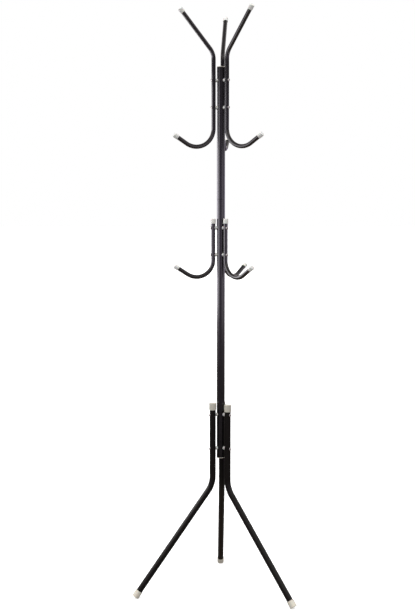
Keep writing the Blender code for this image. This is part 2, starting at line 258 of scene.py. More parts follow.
@dataclass(frozen=True)
class Relief:
    """A fine relief on a surface: cycles for each metre, octaves, depth and strength."""

    scale: float
    detail: float
    depth: float
    strength: float

    def normal(self, board: NodeBoard, place: Socket) -> Socket:
        """The normal of the relief."""
        return board.add("ShaderNodeBump", {
            "Height": noise(board, place, self.scale, self.detail), "Distance": self.depth,
            "Strength": self.strength}).outputs["Normal"]


@dataclass(frozen=True)
class Finish:
    """What every finish has: a name, the record's slot, and a way to make its material."""

    name: str
    slot: Slot

    def start(self) -> tuple[NodeBoard, Socket]:
        """Make an empty material.

        Returns:
            The board of its tree, and the Object coordinates.
        """
        material = bpy.data.materials.new(self.name)
        material.use_nodes = True
        board = NodeBoard(material.node_tree)
        return board, board.add("ShaderNodeTexCoord").outputs["Object"]

    def dress(self, board: NodeBoard, colour: Socket, roughness: Socket, normal: Socket,
              uniform: dict[str, object]) -> Material:
        """Give the shader its patterns and its uniform values.

        Args:
            board: The board of the material's tree.
            colour: The base colour's pattern.
            roughness: The roughness pattern.
            normal: The relief's normal.
            uniform: Values that are the same all over.

        Returns:
            The material.
        """
        shader = board.tree.nodes["Principled BSDF"]
        for key, socket in (("Base Color", colour), ("Roughness", roughness), ("Normal", normal)):
            board.tree.links.new(socket, shader.inputs[key])
        for key, value in uniform.items():
            shader.inputs[key].default_value = value
        return bpy.data.materials[self.name]


@dataclass(frozen=True)
class BlackEnamel(Finish):
    """Stoved black enamel: glossy, faintly orange-peeled, with fine rub marks along Z."""

    deep: Colour = (0.0030, 0.0026, 0.0028, 1.0)
    pale: Colour = (0.0050, 0.0043, 0.0046, 1.0)
    cloud_scale: float = 26.0
    rub_scale: float = 900.0
    rub_detail: float = 5.0
    rub_squash: Triple = (1.0, 1.0, 0.12)
    rub_span: Point2 = (0.64, 0.80)
    rub_dulling: Point2 = (0.0, 0.10)
    gloss: Point2 = (0.19, 0.25)
    gloss_scale: float = 60.0
    peel: Relief = Relief(420.0, 1.0, 0.00002, 0.2)
    sheen: float = 0.5
    coat: float = 0.25
    coat_roughness: float = 0.12
    ior: float = 1.5

    def make(self) -> Material:
        """Build the enamel's material.

        Returns:
            The material.
        """
        board, place = self.start()
        cloud = ramp(board, noise(board, place, self.cloud_scale), MIDTONES, UNIT)
        colour = blend_colour(board, cloud, self.deep, self.pale)
        squashed = board.add(
            "ShaderNodeMapping", {"Vector": place, "Scale": self.rub_squash}).outputs[0]
        marks = noise(board, squashed, self.rub_scale, self.rub_detail)
        rubs = ramp(board, marks, self.rub_span, self.rub_dulling)
        dull = ramp(board, noise(board, place, self.gloss_scale), BROAD, self.gloss)
        rough = join(board, dull, rubs, "ADD")
        return self.dress(board, colour, rough, self.peel.normal(board, place), {
            "IOR": self.ior, "Specular IOR Level": self.sheen, "Coat Weight": self.coat,
            "Coat Roughness": self.coat_roughness})


@dataclass(frozen=True)
class MouldedPlastic(Finish):
    """Moulded polyethylene: softly mottled, with a satin skin, and soiled low down on a foot."""

    light: Colour = (0.56, 0.53, 0.46, 1.0)
    shade: Colour = (0.52, 0.49, 0.42, 1.0)
    mottle_scale: float = 140.0
    soil: Colour = (0.16, 0.14, 0.11, 1.0)
    soil_height: float = 0.0
    soil_cover: float = 0.45
    patch_scale: float = 320.0
    patch_detail: float = 4.0
    patch_span: Point2 = (0.40, 0.60)
    patch_cover: Point2 = (0.2, 1.0)
    gloss: Point2 = (0.36, 0.50)
    gloss_scale: float = 500.0
    skin: Relief = Relief(1400.0, 2.0, 0.00003, 0.3)
    ior: float = 1.51
    glow_through: float = 0.06
    glow_depth: float = 0.002

    def make(self) -> Material:
        """Build the plastic's material.

        Returns:
            The material.
        """
        board, place = self.start()
        mottle = ramp(board, noise(board, place, self.mottle_scale), MIDTONES, UNIT)
        colour = blend_colour(board, mottle, self.light, self.shade)
        if self.soil_height:
            height = board.add("ShaderNodeSeparateXYZ", {0: place}).outputs["Z"]
            low = ramp(board, height, (0.0, self.soil_height), (self.soil_cover, 0.0))
            stains = noise(board, place, self.patch_scale, self.patch_detail)
            patches = ramp(board, stains, self.patch_span, self.patch_cover)
            colour = blend_colour(board, join(board, low, patches, "MULTIPLY"), colour, self.soil)
        dull = ramp(board, noise(board, place, self.gloss_scale), BROAD, self.gloss)
        return self.dress(board, colour, dull, self.skin.normal(board, place), {
            "IOR": self.ior, "Subsurface Weight": self.glow_through,
            "Subsurface Scale": self.glow_depth})


@dataclass(frozen=True)
class ZincPlate(Finish):
    """Bright zinc plate, slightly clouded and dulled by handling."""

    bright: Colour = (0.62, 0.61, 0.60, 1.0)
    cloudy: Colour = (0.44, 0.43, 0.41, 1.0)
    cloud_scale: float = 700.0
    gloss: Point2 = (0.28, 0.46)
    gloss_scale: float = 2200.0
    grain: Relief = Relief(5000.0, 1.0, 0.00002, 0.25)

    def make(self) -> Material:
        """Build the plating's material.

        Returns:
            The material.
        """
        board, place = self.start()
        cloud = ramp(board, noise(board, place, self.cloud_scale), MIDTONES, UNIT)
        colour = blend_colour(board, cloud, self.bright, self.cloudy)
        dull = ramp(board, noise(board, place, self.gloss_scale), BROAD, self.gloss)
        return self.dress(board, colour, dull, self.grain.normal(board, place), {"Metallic": 1.0})


@dataclass
class Finishes:
    """All the stand's finishes, as materials."""

    enamel: BlackEnamel = BlackEnamel("stoved_black_enamel", Slot.TUBE)
    leg_enamel: BlackEnamel = BlackEnamel(
        "satin_black_enamel", Slot.TUBE, deep=(0.0045, 0.0036, 0.0028, 1.0),
        pale=(0.0065, 0.0054, 0.0042, 1.0), gloss=(0.28, 0.34), sheen=0.18, coat=0.0)
    cap: MouldedPlastic = MouldedPlastic("cream_cap_plastic", Slot.CAP)
    small_cap: MouldedPlastic = MouldedPlastic(
        "pale_cap_plastic", Slot.CAP, light=(0.80, 0.79, 0.76, 1.0),
        shade=(0.74, 0.73, 0.70, 1.0))
    foot: MouldedPlastic = MouldedPlastic(
        "cream_foot_plastic", Slot.CAP, light=(0.66, 0.62, 0.53, 1.0),
        shade=(0.60, 0.56, 0.48, 1.0), soil_height=0.004)
    spacer: MouldedPlastic = MouldedPlastic(
        "white_spacer_plastic", Slot.SPACER, light=(0.62, 0.61, 0.59, 1.0),
        shade=(0.56, 0.55, 0.52, 1.0))
    zinc: ZincPlate = ZincPlate("zinc_plate", Slot.BOLT)
    materials: dict[str, Material] = field(default_factory=dict)

    def material(self, finish: Finish) -> Material:
        """A finish's material, made once.

        Args:
            finish: The finish.

        Returns:
            Its material.
        """
        if finish.name not in self.materials:
            self.materials[finish.name] = finish.make()
        return self.materials[finish.name]


# ---- mesh tools ----
def corner_reach(before: Vector, after: Vector, radius: float) -> float:
    """How far along each side the arc of a rounded corner begins."""
    return radius / math.tan(before.angle(after) / 2) if radius else 0.0


def round_corners(outline: Sequence[Triple], steps: int = 6) -> list[Point2]:
    """Round the corners of an open outline.

    A point close beyond each end of an arc keeps the shading of the straight sides even.

    Args:
        outline: Points (across, up, radius of the corner there).
        steps: Pieces of each rounded corner.

    Returns:
        The outline's points, with each corner as an arc.
    """
    places = [Vector(point[:2]) for point in outline]
    reaches = [0.0] + [
        corner_reach(places[i - 1] - places[i], places[i + 1] - places[i], outline[i][2])
        for i in range(1, len(outline) - 1)] + [0.0]
    rounded: list[Point2] = []
    for index, (corner, reach) in enumerate(zip(places, reaches)):
        if reach == 0.0:
            rounded.append(corner[:])
            continue
        radius = outline[index][2]
        sides = [places[index + turn] - corner for turn in (-1, 1)]
        before, after = (side.normalized() for side in sides)
        free = [side.length - reach - reaches[index + turn] for side, turn in zip(sides, (-1, 1))]
        centre = corner + (before + after).normalized() * math.hypot(radius, reach)
        start = corner + before * reach - centre
        sweep = start.angle_signed(corner + after * reach - centre)
        rounded.append((corner + before * (reach + min(radius, free[0] / 3)))[:])
        for step in range(steps + 1):
            rounded.append((centre + Matrix.Rotation(-sweep * step / steps, 2) @ start)[:])
        rounded.append((corner + after * (reach + min(radius, free[1] / 3)))[:])
    return rounded


def turned_mesh(name: str, profile: Sequence[Point2], sides: int, closed: bool = False) -> Mesh:
    """Turn a profile about Z.

    Args:
        name: The mesh's name.
        profile: Points (radius, height).
        sides: Steps of the full turn.
        closed: Whether the profile is a loop clear of the axis.

    Returns:
        A closed mesh whose faces point out.
    """
    builder = bmesh.new()
    verts = [builder.verts.new((radius, 0.0, height)) for radius, height in profile]
    edges = [builder.edges.new(pair) for pair in zip(verts, verts[1:])]
    if closed:
        edges.append(builder.edges.new((verts[-1], verts[0])))
    bmesh.ops.spin(builder, geom=verts + edges, cent=(0.0, 0.0, 0.0), axis=(0.0, 0.0, 1.0),
                   angle=2 * math.pi, steps=sides, use_duplicate=False)
    bmesh.ops.remove_doubles(builder, verts=builder.verts, dist=SAME_PLACE)
    bmesh.ops.recalc_face_normals(builder, faces=builder.faces)
    return finished_mesh(name, builder)


def finished_mesh(name: str, builder: bmesh.types.BMesh) -> Mesh:
    """Turn a builder into a smooth-shaded mesh with sharp edges.

    Args:
        name: The mesh's name.
        builder: The builder, which is used up.

    Returns:
        The mesh.
    """
    mesh = bpy.data.meshes.new(name)
    fill_mesh(mesh, builder)
    return mesh


def fill_mesh(mesh: Mesh, builder: bmesh.types.BMesh) -> None:
    """Put a builder's result into a mesh, shaded smooth between its sharp edges.

    Args:
        mesh: The mesh to fill.
        builder: The builder, which is used up.
    """
    builder.to_mesh(mesh)
    builder.free()
    mesh.shade_smooth()
    mesh.set_sharp_from_angle(angle=math.radians(SHARP_DEGREES))


def add_object(name: str, mesh: Mesh, material: Material | None = None) -> Item:
    """Add an object at the origin, in a material if one is given.

    Args:
        name: The object's name.
        mesh: Its mesh.
        material: The mesh's only material, if given.

    Returns:
        The object.
    """
    if material is not None:
        mesh.materials.clear()
        mesh.materials.append(material)
    obj = bpy.data.objects.new(name, mesh)
    bpy.context.scene.collection.objects.link(obj)
    return obj


def settle(obj: Item) -> Mesh:
    """Take an object's evaluated mesh and remove the object.

    Args:
        obj: The object.

    Returns:
        The mesh.
    """
    graph = bpy.context.evaluated_depsgraph_get()
    mesh = bpy.data.meshes.new_from_object(obj.evaluated_get(graph))
    bpy.data.objects.remove(obj)
    return mesh


def cut(mesh: Mesh, cutters: Sequence[Mesh]) -> Mesh:
    """Cut a mesh with closed cutters.

    Args:
        mesh: The blank.
        cutters: The shapes to take away from it.

    Returns:
        The cut mesh.
    """
    blank = add_object("blank", mesh)
    tools = [add_object("cutter", cutter) for cutter in cutters]
    for tool in tools:
        modifier = blank.modifiers.new("cut", "BOOLEAN")
        modifier.operation = "DIFFERENCE"
        modifier.object = tool
    result = settle(blank)
    for tool in tools:
        bpy.data.objects.remove(tool)
    return result


def rod_mesh(radius: float, start: Vector, end: Vector, sides: int) -> Mesh:
    """A closed rod between two points.

    Args:
        radius: The rod's radius.
        start: Centre of one end.
        end: Centre of the other end.
        sides: Number of sides.

    Returns:
        The rod's mesh.
    """
    builder = bmesh.new()
    along = end - start
    turn = along.to_track_quat("Z", "Y").to_matrix().to_4x4()
    bmesh.ops.create_cone(builder, cap_ends=True, segments=sides, radius1=radius, radius2=radius,
                          depth=along.length, matrix=Matrix.Translation((start + end) / 2) @ turn)
    return finished_mesh("rod", builder)


def bevel_edges(mesh: Mesh, width: float) -> None:
    """Ease a mesh's sharp edges in place.

    Args:
        mesh: The mesh, which may be loose triangles.
        width: Width of the eased edge.
    """
    builder = bmesh.new()
    builder.from_mesh(mesh)
    bmesh.ops.remove_doubles(builder, verts=builder.verts, dist=2 * SLIVER)
    bmesh.ops.dissolve_degenerate(builder, edges=builder.edges, dist=SLIVER)
    limit = math.radians(SHARP_DEGREES)
    sharp = [edge for edge in builder.edges if edge.is_manifold and edge.calc_face_angle() > limit]
    bmesh.ops.bevel(
        builder, geom=sharp, offset=width, segments=2, affect="EDGES", clamp_overlap=True)
    fill_mesh(mesh, builder)


# ---- the stand's common sizes ----
@dataclass(frozen=True)
class Layout:
    """The pole's axis and the sizes that the sub-assemblies share."""

    axis: Vector
    pole_r: float = 0.0125
    wall: float = 0.001
    spacer_thickness: float = 0.005
    step: float = math.radians(120)

    def polar(self, distance: float, azimuth: float, height: float) -> Vector:
        """A point at a distance from the pole's axis, in a direction, at a height."""
        out = Vector((distance * math.cos(azimuth), distance * math.sin(azimuth), height))
        return self.axis + out

    def outward(self, azimuth: float, height: float, distance: float = 0.0) -> Matrix:
        """A frame whose +Z points away from the pole's axis."""
        turn = Matrix.Rotation(azimuth, 4, "Z") @ Matrix.Rotation(math.pi / 2, 4, "Y")
        return Matrix.Translation(self.polar(distance, azimuth, height)) @ turn


@dataclass
class Workshop:
    """What the sub-assemblies share: the layout, the finishes and the node trees."""

    layout: Layout
    finishes: Finishes
    tubes: bpy.types.NodeTree
    repeats: bpy.types.NodeTree

    def hand_over(self, piece: Item, body: Body, finish: Finish, nodes: Sequence[str]) -> None:
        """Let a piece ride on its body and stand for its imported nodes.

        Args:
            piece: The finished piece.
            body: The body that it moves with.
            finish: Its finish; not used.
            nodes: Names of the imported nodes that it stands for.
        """
        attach(piece, body.value)
        if nodes:
            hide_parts(*nodes)
        LOG.info("%s: %d faces on %s", piece.name, len(piece.data.polygons), body.value)


# ---- pole ----
@dataclass
class Pole:
    """Three sections of 25 mm tube that slip into each other, with a plug in each open end."""

    shop: Workshop
    sides: int = 64
    spigot_length: float = 0.045
    edge: float = 0.0003
    edge_steps: int = 3
    flange: float = 0.002
    flange_edges: Point2 = (0.0010, 0.0002)
    plug_length: float = 0.016
    plug_wall: float = 0.0015
    stem_edge: float = 0.0006
    stem_root: float = 0.0004

    def build(self) -> None:
        """Build the sections and the plugs."""
        enamel = self.shop.finishes.enamel
        for node, body, spigot in (
                ("lower_pole", Body.BASE, True), ("middle_pole", Body.MIDDLE, True),
                ("upper_pole", Body.TOP, False)):
            low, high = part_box(node)
            top = high[2] - (self.spigot_length if spigot else 0.0)
            profile = self.section_profile(low[2], top, spigot)
            mesh = turned_mesh(node + "_tube", profile, self.sides, closed=True)
            self.place(node + "_tube", mesh, Matrix.Identity(4), body, enamel, node)
        plug = turned_mesh("pole_plug", self.plug_profile(), self.sides)
        plastic = self.shop.finishes.cap
        top_seat = Vector((0.0, 0.0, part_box("pole_top_plug")[1][2] - self.flange))
        bottom_seat = Vector((0.0, 0.0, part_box("pole_bottom_plug")[0][2] + self.flange))
        upright = Matrix.Translation(top_seat)
        flipped = Matrix.Translation(bottom_seat) @ Matrix.Rotation(math.pi, 4, "X")
        self.place("top_end_plug", plug.copy(), upright, Body.TOP, plastic, "pole_top_plug")
        self.place("bottom_end_plug", plug, flipped, Body.BASE, plastic, "pole_bottom_plug")

    def section_profile(self, bottom: float, top: float, spigot: bool) -> list[Point2]:
        """Outline of a section's wall, with or without a reduced spigot at its top.

        Args:
            bottom: Height of the section's lower end.
            top: Height of its upper end, or of the shoulder.
            spigot: Whether a spigot stands on the shoulder.

        Returns:
            Points (radius, height) of a closed loop.
        """
        outer = self.shop.layout.pole_r
        inner = outer - self.shop.layout.wall
        edge, middle = self.edge, (top + bottom) / 2
        foot = [(outer, middle, 0.0), (outer, bottom, edge), (inner, bottom, edge)]
        rim = [(outer, top, edge), (outer, middle + GAP, 0.0)]
        if not spigot:
            return round_corners([*foot, (inner, top, edge), *rim], self.edge_steps)
        spigot_r = inner - GAP
        spigot_inner = spigot_r - self.shop.layout.wall
        tip = top + self.spigot_length
        neck = top - self.shop.layout.wall
        return round_corners([
            *foot, (inner, neck, 0.0), (spigot_inner, neck, 0.0), (spigot_inner, tip, edge),
            (spigot_r, tip, edge), (spigot_r, top, 0.0), *rim], self.edge_steps)

    def plug_profile(self) -> list[Point2]:
        """Outline of a plug: a thin rounded flange over a hollow stem.

        Returns:
            Points (radius, height), with the flange's underside at 0.
        """
        outer = self.shop.layout.pole_r
        stem = outer - self.shop.layout.wall - GAP
        inner = stem - self.plug_wall
        upper_edge, lower_edge = self.flange_edges
        return round_corners([
            (0.0, self.flange, 0.0), (outer, self.flange, upper_edge), (outer, 0.0, lower_edge),
            (stem, 0.0, 0.0), (stem, -self.plug_length, self.stem_edge),
            (inner, -self.plug_length, self.stem_edge), (inner, 0.0, self.stem_root),
            (0.0, 0.0, 0.0)])

    def place(self, name: str, mesh: Mesh, matrix: Matrix, body: Body, finish: Finish,
              node: str) -> None:
        """Put a turned piece on the pole's axis and hand it over.

        Args:
            name: The piece's name.
            mesh: Its mesh, turned about Z.
            matrix: Its place on the axis.
            body: The body that it moves with.
            finish: Its finish.
            node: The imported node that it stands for.
        """
        mesh.transform(Matrix.Translation(self.shop.layout.axis) @ matrix)
        piece = add_object(name, mesh, self.shop.finishes.material(finish))
        self.shop.hand_over(piece, body, finish, [node])


# ---- tiers of bent tubes ----
@dataclass(frozen=True)
class CapShape:
    """A plastic cup that slips over a tube's end."""

    outer_r: float
    length: float
    floor: float = 0.0022
    edge: float = 0.0019
    lip: float = 0.0003
    root: float = 0.0008
    sides: int = 56

    def mesh(self, tube_r: float) -> Mesh:
        """The cup's mesh, for a tube that ends at z = 0 and comes from below.

        Args:
            tube_r: Radius of the tube.

        Returns:
            The mesh.
        """
        inner = tube_r + GAP
        skirt = self.floor - self.length
        return turned_mesh("cap", round_corners([
            (0.0, self.floor, 0.0), (self.outer_r, self.floor, self.edge),
            (self.outer_r, skirt, self.lip), (inner, skirt, self.lip), (inner, GAP, self.root),
            (0.0, GAP, 0.0)]), self.sides)


HOOK_CAP = CapShape(outer_r=0.0076, length=0.0150)
LEG_CAP = CapShape(outer_r=0.0110, length=0.0218, edge=0.0011)


@dataclass
class Tier:
    """Three tubes round the pole with their caps, spacers and bolts."""

    shop: Workshop
    name: str
    tube_node: str
    body: Body
    azimuth: float
    tube_r: float
    cap: CapShape
    bolt_z: float
    bolt_spacing: float
    seed: int
    tube_sides: int = 40
    rings_per_bend: int = 40
    ring_margin: float = 0.001
    spacer_r: float = 0.0055
    spacer_sides: int = 48
    spacer_edge: float = 0.00025
    wrap_pole: float = 0.0020
    wrap_tube: float = 0.0020
    saddle_sides: tuple[int, int] = (96, 72)
    hole_sides: int = 32
    bolt_r: float = 0.0025
    bolt_sides: int = 40
    bolt_end: float = 0.0065
    bolt_sharp: float = math.radians(35)
    head_r: float = 0.0047
    head_height: float = 0.0028
    head_flat: float = 0.45
    head_crown: Point2 = (0.9, 0.45)
    head_edges: Triple = (0.0008, 0.0012, 0.0002)
    head_steps: int = 4
    tip_edge: float = 0.0005
    socket_r: float = 0.00175
    socket_depth: float = 0.0016

    @property
    def distance(self) -> float:
        """Distance between the pole's axis and a tube's axis."""
        return self.shop.layout.pole_r + self.shop.layout.spacer_thickness + self.tube_r

    @property
    def seat(self) -> float:
        """Distance between the pole's axis and the underside of a bolt's head."""
        return self.distance + self.tube_r + GAP

    def side_azimuth(self, side: Side) -> float:
        """Direction of a tube from the pole's axis."""
        return self.azimuth + list(Side).index(side) * self.shop.layout.step

    def bolt_places(self) -> Iterable[tuple[Row, Side, float, float]]:
        """Each bolt's row, side, azimuth and height."""
        for row, height in zip(Row, (self.bolt_z, self.bolt_z + self.bolt_spacing)):
            for side in Side:
                yield row, side, self.side_azimuth(side), height

    def corners(self, side: Side) -> list[tuple[float, float, float, float]]:
        """Corners of a tube: out from its own line, up, turn in degrees, bend radius."""
        raise NotImplementedError

    def cap_names(self) -> tuple[str, str]:
        """Node names of the caps on a tube's first and last corner."""
        raise NotImplementedError

    def build(self) -> None:
        """Build the tubes with their caps, and then the fastenings."""
        for side in Side:
            self.build_tube(side)
        self.build_spacers()
        self.build_bolts()

    def points(self, side: Side) -> tuple[list[Vector], list[float]]:
        """Corners of a tube in space, with their bend radii.

        Args:
            side: The tube's side.

        Returns:
            The corners, and the bend radius at each.
        """
        azimuth = self.side_azimuth(side)
        frame = Matrix.Translation(self.shop.layout.polar(self.distance, azimuth, 0.0))
        placed, radii = [], []
        for out, up, toe, radius in self.corners(side):
            turn = Matrix.Rotation(azimuth + math.radians(toe), 4, "Z")
            placed.append(frame @ turn @ Vector((out, 0.0, up)))
            radii.append(radius)
        return placed, radii

    def guide_points(self, side: Side) -> tuple[list[Vector], list[float]]:
        """Corners of a tube, and a point near each end of a straight to keep its shading even.

        Args:
            side: The tube's side.

        Returns:
            The points, and the bend radius at each.
        """
        points, radii = self.points(side)
        inward = [(points[inner] - points[tip]).normalized() * self.ring_margin
                  for tip, inner in ((0, 1), (-1, -2))]
        placed, bends = [points[0], points[0] + inward[0]], [0.0, 0.0]
        for index in range(1, len(points) - 1):
            corner = points[index]
            before, after = (points[index + turn] - corner for turn in (-1, 1))
            reach = corner_reach(before, after, radii[index]) + self.ring_margin
            placed += [corner + before.normalized() * reach, corner,
                       corner + after.normalized() * reach]
            bends += [0.0, radii[index], 0.0]
        return placed + [points[-1] + inward[1], points[-1]], bends + [0.0, 0.0]

    def build_tube(self, side: Side) -> None:
        """Sweep one tube and put its two caps on.

        Args:
            side: The tube's side.
        """
        route, bends = self.guide_points(side)
        chain = bpy.data.meshes.new("route")
        chain.from_pydata(route, [(start, start + 1) for start in range(len(route) - 1)], [])
        bend = chain.attributes.new("bend_radius", "FLOAT", "POINT")
        bend.data.foreach_set("value", bends)
        guide = add_object("route", chain)
        sweep = guide.modifiers.new("sweep", "NODES")
        sweep.node_group = self.shop.tubes
        finishes = self.shop.finishes
        enamel = finishes.leg_enamel if self.body is Body.BASE else finishes.enamel
        set_inputs(sweep, {"Tube radius": self.tube_r, "Sides": self.tube_sides,
                           "Rings per bend": self.rings_per_bend,
                           "Material": finishes.material(enamel)})
        wall = guide.modifiers.new("wall", "SOLIDIFY")
        wall.thickness = self.shop.layout.wall
        wall.offset = -1.0
        mesh = settle(guide)
        node = f"{self.tube_node}_{side.value}"
        tube = add_object(node + "_tube", mesh)
        self.shop.hand_over(tube, self.body, enamel, [node])
        for cap_node, tip, inner in zip(self.cap_names(), (0, -1), (1, -2)):
            self.build_cap(f"{cap_node}_{side.value}", route[tip], route[tip] - route[inner])

    def build_cap(self, node: str, tip: Vector, outward: Vector) -> None:
        """Slip a cap over a tube's end.

        Args:
            node: The cap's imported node.
            tip: The tube's end.
            outward: Direction out of the end.
        """
        mesh = self.cap.mesh(self.tube_r)
        turn = outward.to_track_quat("Z", "Y").to_matrix().to_4x4()
        mesh.transform(Matrix.Translation(tip) @ turn)
        is_foot = tip.z < self.cap.outer_r
        if is_foot:
            for vertex in mesh.vertices:
                vertex.co.z = max(vertex.co.z, 0.0)
        finishes = self.shop.finishes
        plain = finishes.cap if self.body is Body.BASE else finishes.small_cap
        finish = finishes.foot if is_foot else plain
        piece = add_object(node + "_cup", mesh, finishes.material(finish))
        self.shop.hand_over(piece, self.body, finish, [node])

    def repeat(self, name: str, shape: Mesh, distance: float, free_turn: float,
               finish: Finish) -> Item:
        """Put a copy of a shape at each bolt of the tier, as one piece.

        Args:
            name: The piece's name.
            shape: The shape, with +Z away from the pole.
            distance: Distance of the shape's origin from the pole's axis.
            free_turn: Largest random turn about its own Z.
            finish: The piece's finish.

        Returns:
            The piece.
        """
        frames = [self.shop.layout.outward(azimuth, height, distance)
                  for _, _, azimuth, height in self.bolt_places()]
        points = bpy.data.meshes.new(name)
        points.from_pydata([frame.translation for frame in frames], [], [])
        facing = points.attributes.new("facing", "FLOAT_VECTOR", "POINT")
        facing.data.foreach_set("vector", [angle for frame in frames for angle in frame.to_euler()])
        pattern = add_object(name + "_shape", shape)
        guide = add_object(name, points)
        modifier = guide.modifiers.new("repeat", "NODES")
        modifier.node_group = self.shop.repeats
        set_inputs(modifier, {"Shape": pattern, "Free turn": free_turn, "Seed": self.seed,
                              "Material": self.shop.finishes.material(finish)})
        mesh = settle(guide)
        bpy.data.objects.remove(pattern)
        return add_object(name, mesh)

    def spacer_mesh(self) -> Mesh:
        """One spacer: a short rod hollowed to sit on the pole and on the tube, with a bolt hole.

        Returns:
            The spacer's mesh, with +Z away from the pole's axis.
        """
        pole_r = self.shop.layout.pole_r
        near, far = pole_r - self.wrap_pole, self.distance - self.tube_r + self.wrap_tube
        across = Vector((2 * self.spacer_r, 0.0, 0.0))
        centre, tube_centre = Vector((0.0, 0.0, 0.0)), Vector((0.0, 0.0, self.distance))
        blank = rod_mesh(
            self.spacer_r, Vector((0.0, 0.0, near)), Vector((0.0, 0.0, far)), self.spacer_sides)
        pole_sides, tube_sides = self.saddle_sides
        pole = rod_mesh(pole_r + GAP, -across, across, pole_sides)
        tube = rod_mesh(self.tube_r + GAP, tube_centre - across, tube_centre + across, tube_sides)
        hole = rod_mesh(self.bolt_r + GAP, centre, tube_centre, self.hole_sides)
        mesh = cut(blank, [pole, tube, hole])
        bevel_edges(mesh, self.spacer_edge)
        return mesh

    def build_spacers(self) -> None:
        """Build the tier's six spacers."""
        finish = self.shop.finishes.spacer
        name = f"{self.name}_saddle_spacers"
        piece = self.repeat(name, self.spacer_mesh(), distance=0.0, free_turn=0.0, finish=finish)
        self.shop.hand_over(piece, self.body, finish, self.spacer_nodes())

    def bolt_mesh(self) -> Mesh:
        """One button-head bolt with a hexagon socket, its head above z = 0.

        Returns:
            The bolt's mesh.
        """
        length = self.seat - self.bolt_end
        top, (crown_r, crown_height) = self.head_height, self.head_crown
        flat_edge, crown_edge, rim_edge = self.head_edges
        profile = round_corners([
            (0.0, top, 0.0), (self.head_flat * self.head_r, top, flat_edge),
            (crown_r * self.head_r, crown_height * top, crown_edge), (self.head_r, 0.0, rim_edge),
            (self.bolt_r, 0.0, 0.0), (self.bolt_r, -length, self.tip_edge), (0.0, -length, 0.0)],
            self.head_steps)
        socket = rod_mesh(self.socket_r, Vector((0.0, 0.0, top - self.socket_depth)),
                          Vector((0.0, 0.0, 2 * top)), HEXAGON)
        mesh = cut(turned_mesh("bolt", profile, self.bolt_sides), [socket])
        mesh.set_sharp_from_angle(angle=self.bolt_sharp)
        return mesh

    def build_bolts(self) -> None:
        """Build the tier's six bolts."""
        finish = self.shop.finishes.zinc
        piece = self.repeat(f"{self.name}_button_bolts", self.bolt_mesh(), distance=self.seat,
                            free_turn=2 * math.pi, finish=finish)
        self.shop.hand_over(piece, self.body, finish, self.bolt_nodes())

    def node_names(self, kind: str) -> list[str]:
        """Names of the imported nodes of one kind, one for each bolt."""
        return [f"{self.name}_{kind}_{row.value}_{side.value}"
                for row, side, _, _ in self.bolt_places()]

    def spacer_nodes(self) -> list[str]:
        """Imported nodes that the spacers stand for: here bolt and spacer are one node."""
        return self.node_names("fixing")

    def bolt_nodes(self) -> list[str]:
        """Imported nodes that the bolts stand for."""
        return []


@dataclass
class UpperTier(Tier):
    """Hat arms over coat hooks, each pair bent from one tube."""

    height: float = 1.800
    arm_tilt: float = math.radians(39.5)
    arm_corner_z: float = 1.6677
    arm_bend_r: float = 0.050
    hook_r: float = 0.0557
    hook_bottom: float = 1.3856
    hook_rise: float = math.radians(33.2)
    hook_tip: float = 0.0473
    cap_chamfer: float = 0.0012
    arm_toe: Triple = (-4.2, 6.4, -0.8)
    hook_toe: Triple = (8.1, 3.7, 0.5)

    def corners(self, side: Side) -> list[tuple[float, float, float, float]]:
        """Arm end, arm bend, hook bend and hook end.

        Args:
            side: The tube's side.

        Returns:
            The corners.
        """
        index = list(Side).index(side)
        tip_z = self.height - (self.cap.outer_r - self.cap_chamfer) * math.sin(self.arm_tilt)
        arm = (tip_z - self.arm_corner_z) / math.cos(self.arm_tilt) - self.cap.floor
        arm_end = (arm * math.sin(self.arm_tilt), self.arm_corner_z + arm * math.cos(self.arm_tilt))
        arm_toe, hook_toe = self.arm_toe[index], self.hook_toe[index]
        corner, end = hook_corners(
            self.hook_r, self.hook_bottom, self.hook_rise, self.hook_tip - self.cap.floor)
        return [(*arm_end, arm_toe, 0.0), (0.0, self.arm_corner_z, 0.0, self.arm_bend_r),
                (*corner, 0.0, self.hook_r), (*end, hook_toe, 0.0)]

    def cap_names(self) -> tuple[str, str]:
        """Caps of the hat arm and of the hook."""
        return "hat_arm_cap", "upper_hook_cap"


@dataclass
class LowerTier(Tier):
    """Coat hooks with a straight capped top."""

    top: float = 1.1680
    hook_r: float = 0.0510
    hook_bottom: float = 0.9893
    hook_rise: float = math.radians(32.8)
    hook_tip: float = 0.0487
    hook_toe: Triple = (4.8, -12.8, 0.0)

    def corners(self, side: Side) -> list[tuple[float, float, float, float]]:
        """Top end, hook bend and hook end.

        Args:
            side: The tube's side.

        Returns:
            The corners.
        """
        toe = self.hook_toe[list(Side).index(side)]
        corner, end = hook_corners(
            self.hook_r, self.hook_bottom, self.hook_rise, self.hook_tip - self.cap.floor)
        top_end = self.top - self.cap.floor
        return [(0.0, top_end, 0.0, 0.0), (*corner, 0.0, self.hook_r), (*end, toe, 0.0)]

    def cap_names(self) -> tuple[str, str]:
        """Caps of the straight top and of the hook."""
        return "lower_hook_top_cap", "lower_hook_cap"


